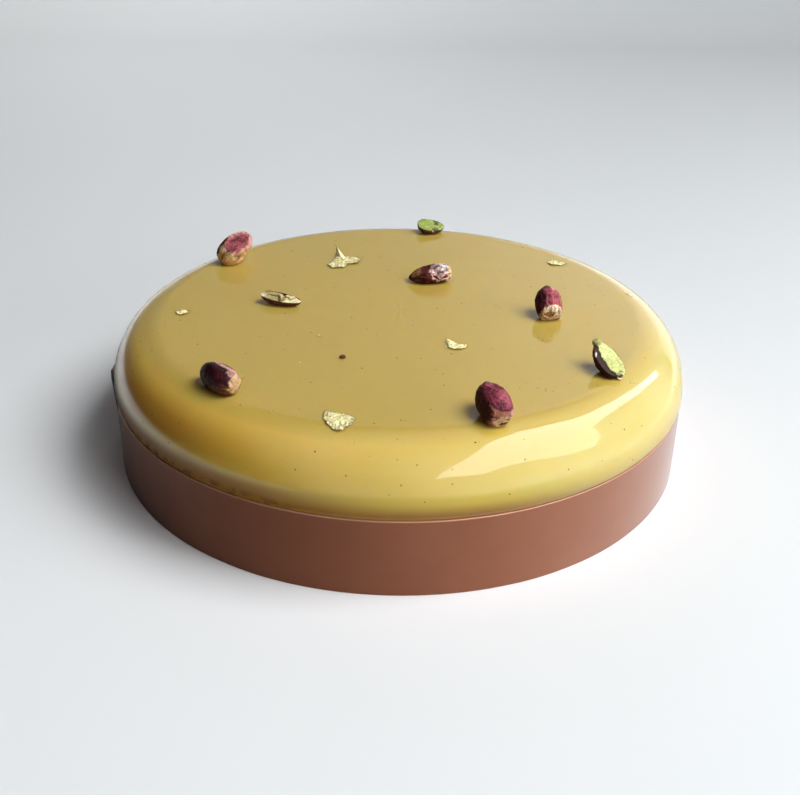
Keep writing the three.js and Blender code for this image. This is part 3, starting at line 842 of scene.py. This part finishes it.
KERNELS = {
    "pistachio_back_left": dict(
        x=-56.6, y=41.6, sink=0.9, length=14.4, width=9.5, thickness=9.1, sharp=0.22, seed=31,
        heading=45, tilt=27, roll=-12, keel=0.05, facet=(0.3, -0.5, 0.81, 3.6), worn=1.0,
        ground=STRAW, blotch=CREAM, contrast=0.7,
        marks=[
            (1.3, 1.9, 5.5, 3.8, 40, PALE_PINK, 0.20, 0.12),
            (0.9, 1.3, 4.5, 2.9, 40, PINK, 0.14, 0.22),
            (-2.6, -3.6, 3.0, 1.4, -20, STRAW, 0.4, 0.4),
            (-4.6, 1.0, 4.2, 0.9, 48, BROWN, 0.5, 0.25),
            (-5.8, -1.4, 1.3, 1.0, 60, BLACK, 0.5, 0.2),
        ],
    ),
    "pistachio_back_centre": dict(
        x=10.2, y=24.6, sink=0.7, length=14.5, width=7.9, thickness=6.3, sharp=0.55, blunt=0.37, seed=41,
        heading=187, tilt=-7.5, roll=3, keel=0.06, ground=OXBLOOD, blotch=BROWN, depth=1.4,
        contrast=1.5,
        marks=[
            (-5.0, 0.5, 2.3, 1.7, 5, TAN, 0.5, 0.45),
            (-3.9, -1.6, 2.0, 0.7, 0, BROWN, 0.5, 0.45),
            # The black spot at the left tip is painted shadow.
            (-7.1, -0.9, 1.1, 1.1, 0, BLACK, 0.4, 0.2),
            (-0.9, 0.6, 2.0, 2.2, 0, OXBLOOD, 0.5, 0.3),
            (3.6, 0.9, 3.5, 3.3, 0, LILAC, 0.16, 0.35),
            (3.2, 1.3, 1.9, 1.7, 0, (0.36, 0.20, 0.20), 0.35, 0.30),
            (3.9, 1.9, 1.3, 1.1, 20, (0.90, 0.74, 0.68), 0.3, 0.2),
            (2.0, -1.3, 1.1, 0.40, -30, OXBLOOD, 0.3, 0.3),
            (5.0, -1.1, 1.2, 0.38, 25, OXBLOOD, 0.3, 0.3),
            (6.7, 0.9, 0.6, 2.2, 10, CREAM, 0.4, 0.2),
        ],
    ),
    "pistachio_right": dict(
        x=46.6, y=-2.9, sink=0.9, length=11.6, width=8.7, thickness=7.8, sharp=1.0, blunt=0.46, seed=51,
        heading=96, tilt=42, roll=13, keel=0.06, ground=MAGENTA, blotch=PINK, contrast=0.9,
        scar=0.6,
        marks=[
            (0.6, -3.7, 4.4, 2.3, 4, (0.74, 0.54, 0.35), 0.16, 0.42),
            (-0.2, -4.3, 1.5, 0.8, 0, TAN, 0.5, 0.4),
            # The dark strip down the left is partly the skin's maroon and partly painted shade on the side
            # away from the light.
            (-3.4, -0.4, 1.9, 5.0, -16, MAROON, 0.35, 0.22),
            (-0.7, 4.7, 1.2, 0.8, 0, BROWN, 0.4, 0.3),
            (1.2, 4.2, 0.5, 1.0, 15, PALE_PINK, 0.4, 0.3),
            (3.7, 0.3, 0.5, 2.9, 8, ROSE, 0.6, 0.3),
        ],
    ),
    "pistachio_front_left": dict(
        x=-50, y=-53.5, sink=0.8, length=14.7, width=7.9, thickness=7.8, sharp=0.4, seed=61,
        heading=133, tilt=-0.5, roll=-22, keel=0.1, ground=MAROON, blotch=BLACK, gloss=0.55,
        depth=0.8, contrast=0.6,
        marks=[
            (1.2, -0.4, 1.2, 2.8, 25, (0.075, 0.014, 0.016), 0.9, 0.3),
            (2.6, -3.7, 3.6, 1.1, -8, (0.170, 0.066, 0.030), 0.7, 0.35),
            (5.6, -1.5, 1.5, 2.6, -22, CREAM, 0.20, 0.35),
            (4.1, 0.9, 1.2, 0.8, -32, (0.50, 0.25, 0.20), 0.4, 0.3),
            (1.7, 3.1, 4.6, 0.34, -27, (0.60, 0.30, 0.28), 0.4, 0.12),
            (4.6, -3.8, 1.2, 0.6, -10, STRAW, 0.5, 0.3),
        ],
    ),
    "pistachio_front": dict(
        x=24.1, y=-68.4, sink=0.9, length=13.8, width=9.1, thickness=9.3, sharp=0.27, seed=71,
        heading=107, tilt=11.5, roll=6, keel=0.04, facet=(0.35, -0.1, 0.93, 4.1), worn=0.9,
        ground=ROSE, blotch=(0.46, 0.24, 0.16), depth=1.2, contrast=0.8, scar=1.0,
        marks=[
            (4.1, -0.9, 0.8, 2.4, 5, PALE_PINK, 0.5, 0.3),
            (2.9, -5.0, 3.0, 1.3, 14, CREAM, 0.25, 0.3),
            # The dark mark down the left is partly the skin's maroon and partly painted shade on the side
            # away from the light.
            (-3.4, -1.1, 2.5, 5.4, 8, (0.040, 0.009, 0.006), 0.35, 0.22),
            (0.9, 1.7, 5.1, 3.25, -42, (0.050, 0.009, 0.010), 0.10, 0.14),
            (1.1, 1.6, 4.6, 2.8, -42, PURPLE, 0.14, 0.16),
            (2.0, 1.5, 2.8, 1.5, -42, MAGENTA, 0.8, 0.4),
            (2.4, -5.6, 1.5, 0.35, 12, BROWN, 0.4, 0.2),
        ],
    ),
    "pistachio_half_right": dict(
        x=58.9, y=-41.7, sink=1.0, length=12.3, width=8.4, thickness=8.2, sharp=0.2, seed=81,
        heading=121, tilt=30, roll=7, half=True, bare=(0.98, 0.40), ragged=0.42, gloss=0.5,
        face=(GREEN, (0.64, 0.67, 0.27), 0.0), ground=(0.028, 0.006, 0.004), blotch=BLACK,
        marks=[
            # The pale spot at the left is a painted glint on the skin.
            (-3.6, 1.0, 0.30, 0.75, -20, (0.80, 0.74, 0.66), 0.5, 0.1),
            (3.6, -4.4, 1.0, 0.7, -40, DARK_GREEN, 0.4, 0.4),
        ],
        scraps=[
            (blob, (5.9, 0.1, -0.2), (1.3, 83), (0.42, 0.44, 0.16)),
            (curled_skin, (-6.3, -0.1, 0.1), (0.95, 0.30, -70), (0.80, 0.68, 0.44)),
        ],
    ),
    "pistachio_half_back": dict(
        x=12.2, y=73, sink=0.4, length=10, width=8.2, thickness=6.3, sharp=0.28, seed=91,
        heading=13, tilt=-7, roll=12, half=True, bare=(0.90, 0.93), ragged=0.12,
        face=(MOSS, (0.48, 0.54, 0.19), 0.3), ground=BROWN, blotch=DARK_GREEN,
        marks=[
            # The dark green mark at the right stands for a notch in shade: painted shade.
            (2.4, 0.8, 1.6, 1.2, 0, DARK_GREEN, 0.3, 0.5),
            (3.5, 0.0, 0.8, 1.2, 20, MOSS, 0.4, 0.5),
            (1.3, -1.9, 1.2, 0.6, 0, (0.10, 0.09, 0.03), 0.4, 0.4),
            (0.6, -2.7, 0.35, 0.35, 0, (0.85, 0.84, 0.74), 0.4, 0.1),
        ],
    ),
    "pistachio_sliver": dict(
        x=-37.7, y=3.9, sink=0.3, length=13.4, width=5.4, thickness=5.6, sharp=0.2, seed=101,
        heading=-16, tilt=-6, roll=8, half=True, crack=(0.2, 0.7, 0.8), bare=(0.86, 0.90),
        # The face's darker olive left half is painted shade; its right half is cream.
        ragged=0.2, face=((0.44, 0.35, 0.14), (0.95, 0.84, 0.48), 0.02),
        ground=(0.085, 0.026, 0.016), blotch=BROWN,
        marks=[
            (-5.6, 0.9, 1.0, 0.6, -15, (0.80, 0.70, 0.54), 0.5, 0.3),
            (-3.6, 0.3, 1.4, 0.4, -10, (0.58, 0.50, 0.24), 0.5, 0.5),
            # The dark lines across the face are its cracks and creases, painted dark as shade.
            (-2.6, 0.7, 1.6, 0.22, -14, (0.07, 0.05, 0.015), 0.5, 0.6),
            (1.8, 0.0, 1.5, 0.26, -30, (0.30, 0.21, 0.07), 0.5, 0.8),
            (3.4, -0.6, 1.2, 0.20, 20, (0.34, 0.24, 0.08), 0.5, 0.6),
            (-0.7, -0.2, 0.42, 1.3, 12, (0.05, 0.03, 0.01), 0.4, 0.3),
        ],
    ),
}
for name, nut in KERNELS.items():
    piece = make_kernel(name.replace("pistachio", "creased_kernel"), nut, skin)
    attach(piece, "root")
    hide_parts(name)


# ---------------------------------------------------------------------------------------------
# Gold leaf: beaten leaf torn into flakes with a brush, finely crinkled, and laid on the wet glaze.
# Two flakes have a prong that stands up. A few specks of leaf fell beside them.
LEAF_THICKNESS = 0.06
LEAF_RINGS = 26
GOLD = (0.93, 0.85, 0.46, 1)
GOLD_DEEP = (0.78, 0.64, 0.26, 1)
CREASE = (0.13, 0.09, 0.02, 1)


def torn_outline(corners, seed):
    """Fourteen points to each side of the corners' outline, jogged sideways by the tear. Each is
    (x, y, lift)."""
    corners = np.array(corners, float)
    ahead = np.roll(corners, -1, 0)
    share = np.linspace(0, 1, 14, endpoint=False)[None, :, None]
    edge = (corners[:, None] * (1 - share) + ahead[:, None] * share).reshape(-1, 3)
    count = len(edge)
    step = np.arange(count)
    jog = random_field(step / 1.7, 0 * step + 0.5, seed) * 0.16
    jog = jog + random_field(step / 5, 0 * step + 7.5, seed) * 0.2
    grown = 1 + jog / np.maximum(np.hypot(edge[:, 0], edge[:, 1]), 1.2)
    return edge * np.stack([grown, grown, 1 + 0 * grown], -1)


def leaf_mesh(leaf, start):
    """Rings from the middle of the flake to its torn outline, creased into small facets, on two
    faces a leaf's thickness apart. A corner's lift grows with the square of the way out to it.
    The faces' corners are counted from start."""
    edge = torn_outline(leaf["corners"], leaf["seed"])
    out = np.linspace(0, 1, LEAF_RINGS + 1)[1:, None]
    x, y = edge[None, :, 0] * out, edge[None, :, 1] * out
    lift = edge[None, :, 2] * out * out
    crumple = 1 - np.abs(random_field(x * 0.8 + 20, y * 0.8 + 20, leaf["seed"] + 1))
    fine = 1 - np.abs(random_field(x * 2.3 + 40, y * 2.3 + 40, leaf["seed"] + 2))
    ground = surface_height(np.hypot(leaf["x"] + x, leaf["y"] + y))
    height = ground + 0.03 + leaf.get("crumple", 0.26) * (crumple - 0.2) + 0.13 * fine + lift
    middle = np.array([[leaf["x"], leaf["y"], height[0].mean()]])
    lower = np.stack([leaf["x"] + x, leaf["y"] + y, height], -1).reshape(-1, 3)
    lower = np.concatenate([middle, lower])
    upper = lower + np.array([0, 0, LEAF_THICKNESS])
    count, total = edge.shape[0], len(lower)
    around = np.arange(count)
    beside = (around + 1) % count
    grid = sheet_faces(LEAF_RINGS, count, True) + start + 1
    fan = start + np.stack([0 * around, 1 + around, 1 + beside], -1)
    rim = start + 1 + (LEAF_RINGS - 1) * count
    wall = np.stack([rim + around, rim + beside, total + rim + beside, total + rim + around], -1)
    faces = (
        grid.tolist()
        + (grid[:, ::-1] + total).tolist()
        + fan[:, ::-1].tolist()
        + (fan + total).tolist()
        + wall.tolist()
    )
    way = np.concatenate([[0.0], (out + 0 * x).ravel()])
    return np.concatenate([lower, upper]), faces, np.concatenate([way, way])


def make_leaf(name, leaves, material):
    """One piece of one or more flakes, which keeps each point's way out to the torn edge."""
    points, faces, ways = np.zeros((0, 3)), [], np.zeros(0)
    for leaf in leaves:
        more, near, way = leaf_mesh(leaf, len(points))
        points, faces, ways = np.concatenate([points, more]), faces + near, np.concatenate([ways, way])
    piece = make_piece(name, points * MM, faces, material)
    tear = piece.data.attributes.new("tear", "FLOAT", "POINT")
    tear.data.foreach_set("value", ways)
    return piece


gold, at = finish("beaten_gold", Metallic=0.35, IOR=1.5)
crush = at.noise(900.0, 4.0, 0.65)
thin = at.noise(520.0, 3.0)
creased = at.noise(430.0, 3.0, 0.6)
crease = creased.step(0.455, 0.49) * (1 - creased.step(0.50, 0.535))
torn = at.node("ShaderNodeAttribute", {"attribute_name": "tear"}, {}, output=2)
edge = (torn + crush * 0.12).step(0.93, 1.05)
leaf_colour = thin.step(0.35, 0.75).tint(GOLD, GOLD_DEEP)
# Painted shade: dark lines along the creases; the torn edge is darkened with the same colour.
dress(
    gold,
    Base_Color=(crease * (1 - edge) * 0.75 + edge * 0.9).tint(leaf_colour, CREASE),
    Roughness=crush * 0.3 + 0.3,
    Normal=crush.bump(0.0004, 0.6),
)

LEAVES = {
    "gold_leaf_back": dict(x=-18.9, y=42.4, seed=201, corners=[
        (5.8, 2.1, 0), (4.3, 3, 0.2), (1.1, 3.5, 0), (-0.8, 5, 0.1), (-3.2, 6, 3.2), (-3.3, 4.6, 0.1),
        (-4.3, -0.6, 0), (-5.8, -4.6, 0.4), (-4.3, -7.3, 0), (-1.5, -7.2, 0.3), (0.6, -6, 0),
        (0.9, -3.4, 0.2), (4.6, -3.2, 0.5)]),
    "gold_leaf_front": dict(x=-16.2, y=-71.5, seed=211, corners=[
        (4.4, 0.6, 0.2), (2.4, 2.7, 0), (-1.0, 4.0, 0.1), (-4.2, 4.4, 0.2), (-4.5, 1.2, 0),
        (-3.3, -1.8, 0.1), (-1.5, -4.3, 0), (0.5, -5.3, 0.4), (3.5, -3.0, 0.1)]),
    "gold_leaf_centre": dict(x=16.9, y=-25.4, seed=221, corners=[
        (3.3, -0.3, 0.4), (0.7, 0, 0), (-0.5, 1.6, 0.1), (-3.2, 2.6, 1), (-2.9, 1.5, 0.1),
        (-2.6, -1.9, 0.2), (-1, -3.1, 0), (0.4, -3.3, 0.3), (2.7, -1.8, 0)]),
    "gold_leaf_right": dict(x=55.4, y=42.4, seed=231, corners=[
        (3.4, -0.5, 0.2), (0.4, 1.7, 0), (-1.8, 2.1, 0.1), (-3.4, 0.2, 0.1), (-2.6, -2.2, 0.2),
        (1.1, -2.3, 0)]),
    "gold_leaf_left": dict(x=-68, y=-4, seed=241, crumple=0.4, corners=[
        (2.3, 0.1, 0.3), (2.3, 1.5, 0.1), (-0.4, 1.5, 0.4), (-2.5, 0.7, 0.3), (-1.3, -1, 0),
        (0.8, -1.5, 0.3)]),
}
for name, leaf in LEAVES.items():
    piece = make_leaf(name.replace("gold_leaf", "torn_leaf"), [leaf], gold)
    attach(piece, "root")
    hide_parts(name)

SPECKS_OF_LEAF = [
    dict(x=75.7, y=15.3, seed=251, crumple=0.1, corners=[
        (1.2, -0.6, 0), (0.9, -0.1, 0.1), (-0.3, 0.5, 0), (-1.1, 0.6, 0.1), (-0.9, 0.1, 0), (0.2, -0.4, 0)]),
    dict(x=-24.4, y=-19.5, seed=252, crumple=0.1, corners=[
        (0.9, -0.2, 0), (0.5, 0.3, 0.1), (-0.4, 0.4, 0), (-0.9, 0.1, 0.1), (-0.4, -0.4, 0), (0.4, -0.5, 0)]),
    dict(x=-28.9, y=-38.0, seed=253, crumple=0.1, corners=[
        (0.5, 0, 0), (0.1, 0.4, 0.1), (-0.5, 0.2, 0), (-0.3, -0.4, 0), (0.3, -0.4, 0.1)]),
    dict(x=13.8, y=-26.6, seed=254, crumple=0.1, corners=[
        (0.4, 0.1, 0), (-0.1, 0.3, 0.1), (-0.4, 0, 0), (0, -0.3, 0)]),
]
specks = make_leaf("leaf_specks", SPECKS_OF_LEAF, gold)
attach(specks, "root")


# ---------------------------------------------------------------------------------------------
# The crumb: a broken bit of nut skin, about 2 mm across, that fell near the middle of the cake.
CRUMB_AT_MM = (-16.7, -34.5, 43.45)
CRUMB_RADIUS_MM = 0.95
CRUMB_SQUASH = (1.0, 0.8, 0.62)
CRUMB_DARK = (0.032, 0.008, 0.007, 1)
CRUMB_RED = (0.130, 0.034, 0.038, 1)
crumb_finish, at = finish("nut_crumb", Roughness=0.55, IOR=1.45, Specular_IOR_Level=0.15)
grain = at.noise(1500.0, 3.0, 0.7)
dress(
    crumb_finish,
    Base_Color=grain.step(0.35, 0.7).tint(CRUMB_DARK, CRUMB_RED),
    Normal=grain.bump(0.0003, 0.6),
)
crumb_points, crumb_faces = blob(np.array(CRUMB_AT_MM), CRUMB_RADIUS_MM, 261)
crumb_points = np.array(CRUMB_AT_MM) + (crumb_points - np.array(CRUMB_AT_MM)) * CRUMB_SQUASH
crumb = make_piece("skin_crumb", crumb_points * MM, crumb_faces, crumb_finish)
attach(crumb, "root")
